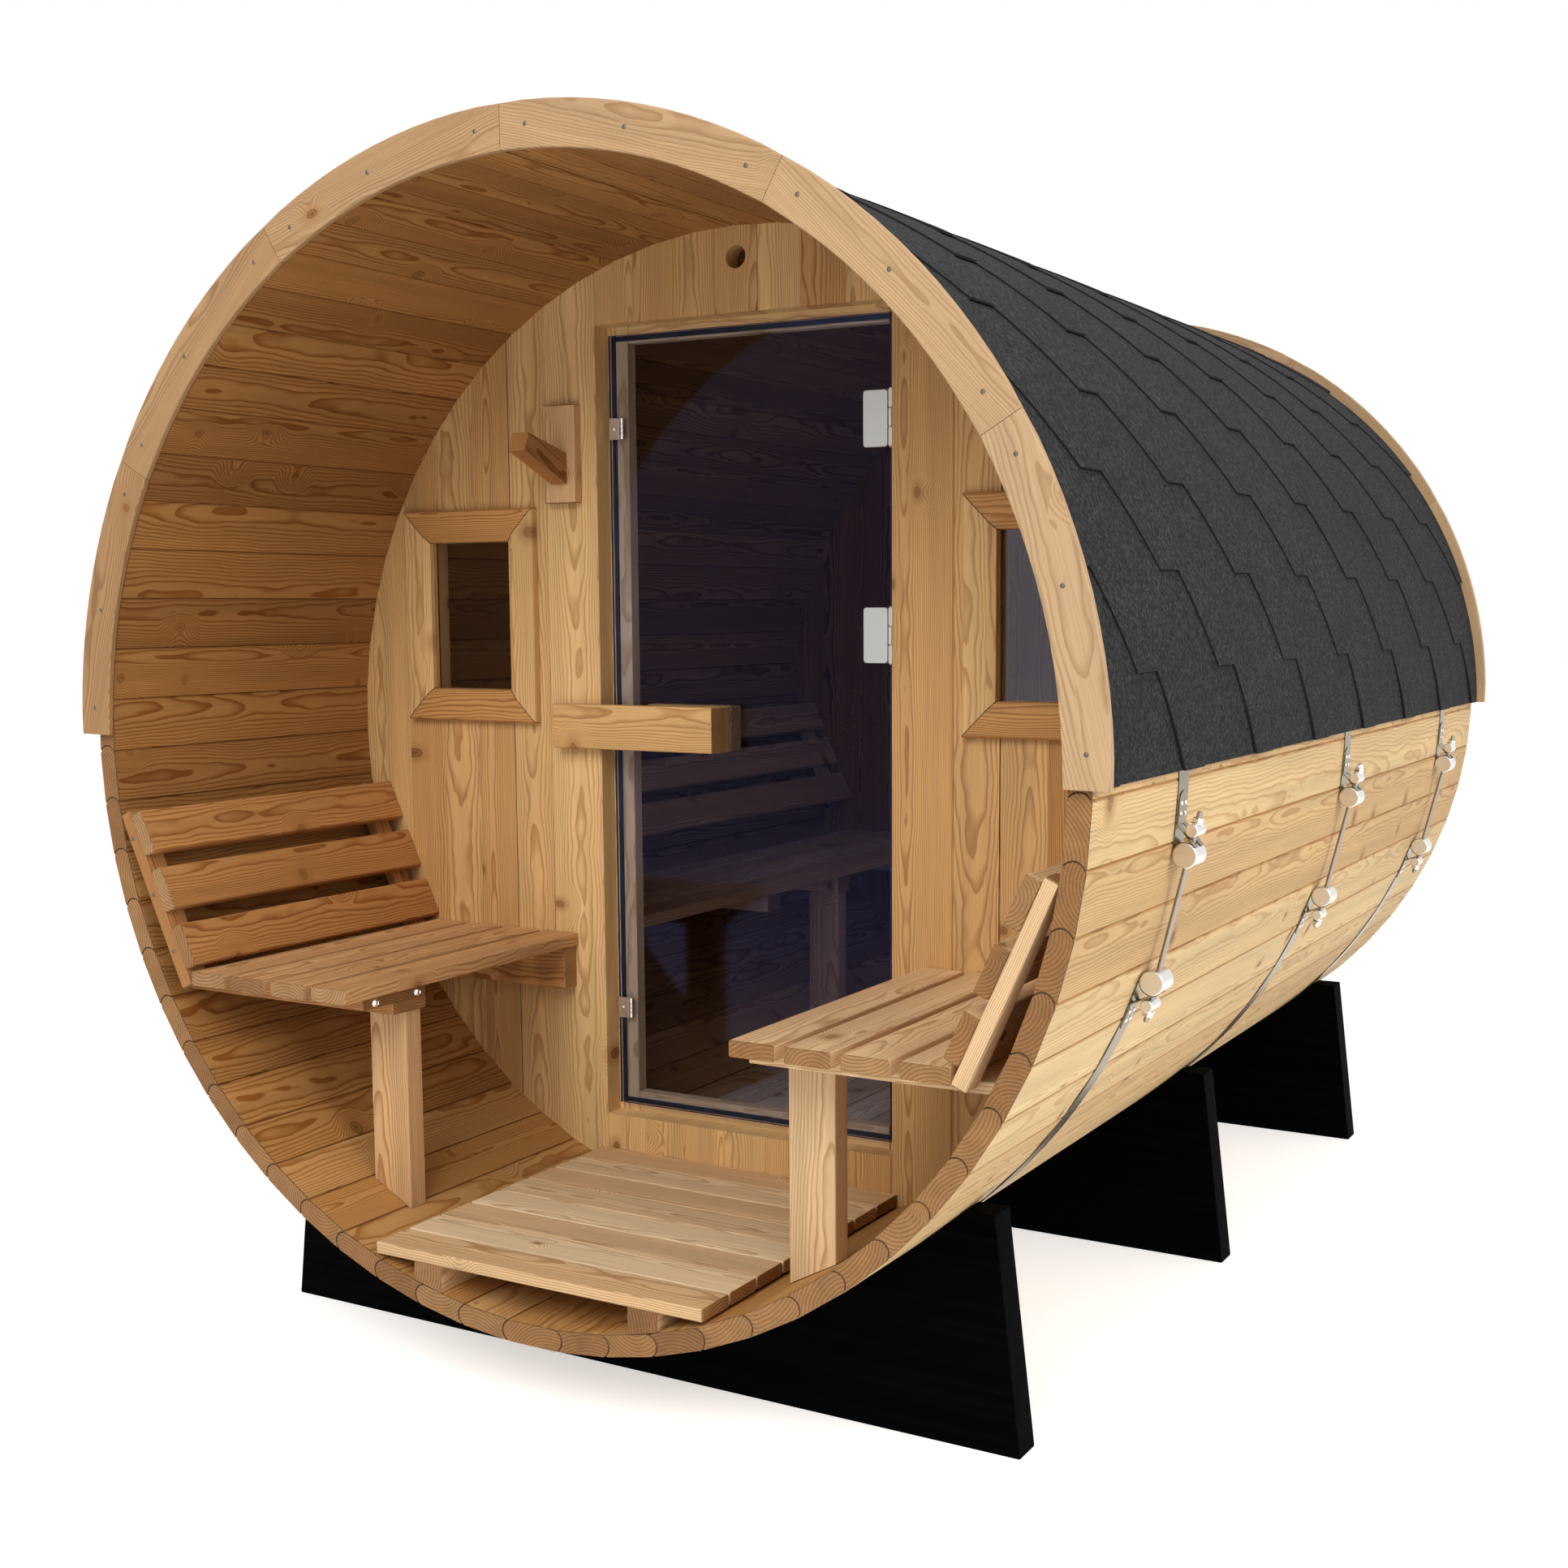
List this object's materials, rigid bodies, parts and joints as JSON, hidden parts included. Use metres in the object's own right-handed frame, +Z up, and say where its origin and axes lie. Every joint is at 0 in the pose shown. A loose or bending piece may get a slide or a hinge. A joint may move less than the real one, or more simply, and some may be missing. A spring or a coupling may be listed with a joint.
{
  "type": "barrel sauna",
  "caption": "Round timber sauna cabin of beaded staves held by steel bands on cradles, with a shingled half roof, an open porch with benches and a glass door.",
  "frame": {"origin": "on the ground, in the middle of the barrel's length and width", "axes": "+Z up, +Y along the barrel from the porch to the rear wall, +X to the right as seen from the porch"},
  "size_m": [2.0696, 2.6926, 2.162],
  "materials": {
    "stave_pine": "planed, oiled",
    "wall_pine": "planed, oiled",
    "trim_pine": "planed, oiled",
    "bench_pine": "planed, oiled",
    "duckboard_pine": "planed",
    "black_stained_timber": "black stain, matt",
    "bitumen_shingle": "granulated, matt",
    "stainless_steel": "bright rolled",
    "nickel_plated_steel": "satin plated",
    "smoked_glass": "smoked, clear"
  },
  "bodies": {
    "barrel": {"cradle_front": "black_stained_timber", "cradle_middle": "black_stained_timber", "cradle_rear": "black_stained_timber", "staves_bottom": "stave_pine", "staves_low_right": "stave_pine", "staves_right": "stave_pine", "staves_high_right": "stave_pine", "staves_top_right": "stave_pine", "staves_top_left": "stave_pine", "staves_high_left": "stave_pine", "staves_left": "stave_pine", "staves_low_left": "stave_pine", "band_front": "stainless_steel", "band_middle": "stainless_steel", "band_rear": "stainless_steel", "tensioner_front": "stainless_steel", "tensioner_middle": "stainless_steel", "tensioner_rear": "stainless_steel", "roof_shingles": "bitumen_shingle", "arch_trim_front": "trim_pine", "arch_trim_rear": "trim_pine", "front_wall_left": "wall_pine", "front_wall_right": "wall_pine", "door_post_left": "wall_pine", "door_post_right": "wall_pine", "door_head": "wall_pine", "door_sill": "wall_pine", "door_stops": "wall_pine", "hinge_leaves": "nickel_plated_steel", "rear_wall": "wall_pine", "window_trim_left": "wall_pine", "window_trim_right": "wall_pine", "window_glass_left": "smoked_glass", "window_glass_right": "smoked_glass", "porch_bench_left": "bench_pine", "porch_bench_right": "bench_pine", "porch_duckboard": "duckboard_pine", "coat_hook": "bench_pine", "cabin_bench": "bench_pine", "cabin_duckboard": "duckboard_pine"},
    "door": {"door_glass": "smoked_glass", "door_handle": "wall_pine", "door_hinges": "nickel_plated_steel", "door_catches": "nickel_plated_steel"}
  },
  "joints": [
    {"name": "door_hinge", "type": "hinge", "parent": "barrel", "child": "door", "pos_m": [0.322, -0.6337, 1.128], "axis": [0, 0, 1], "range_deg": [0, 95]}
  ]
}
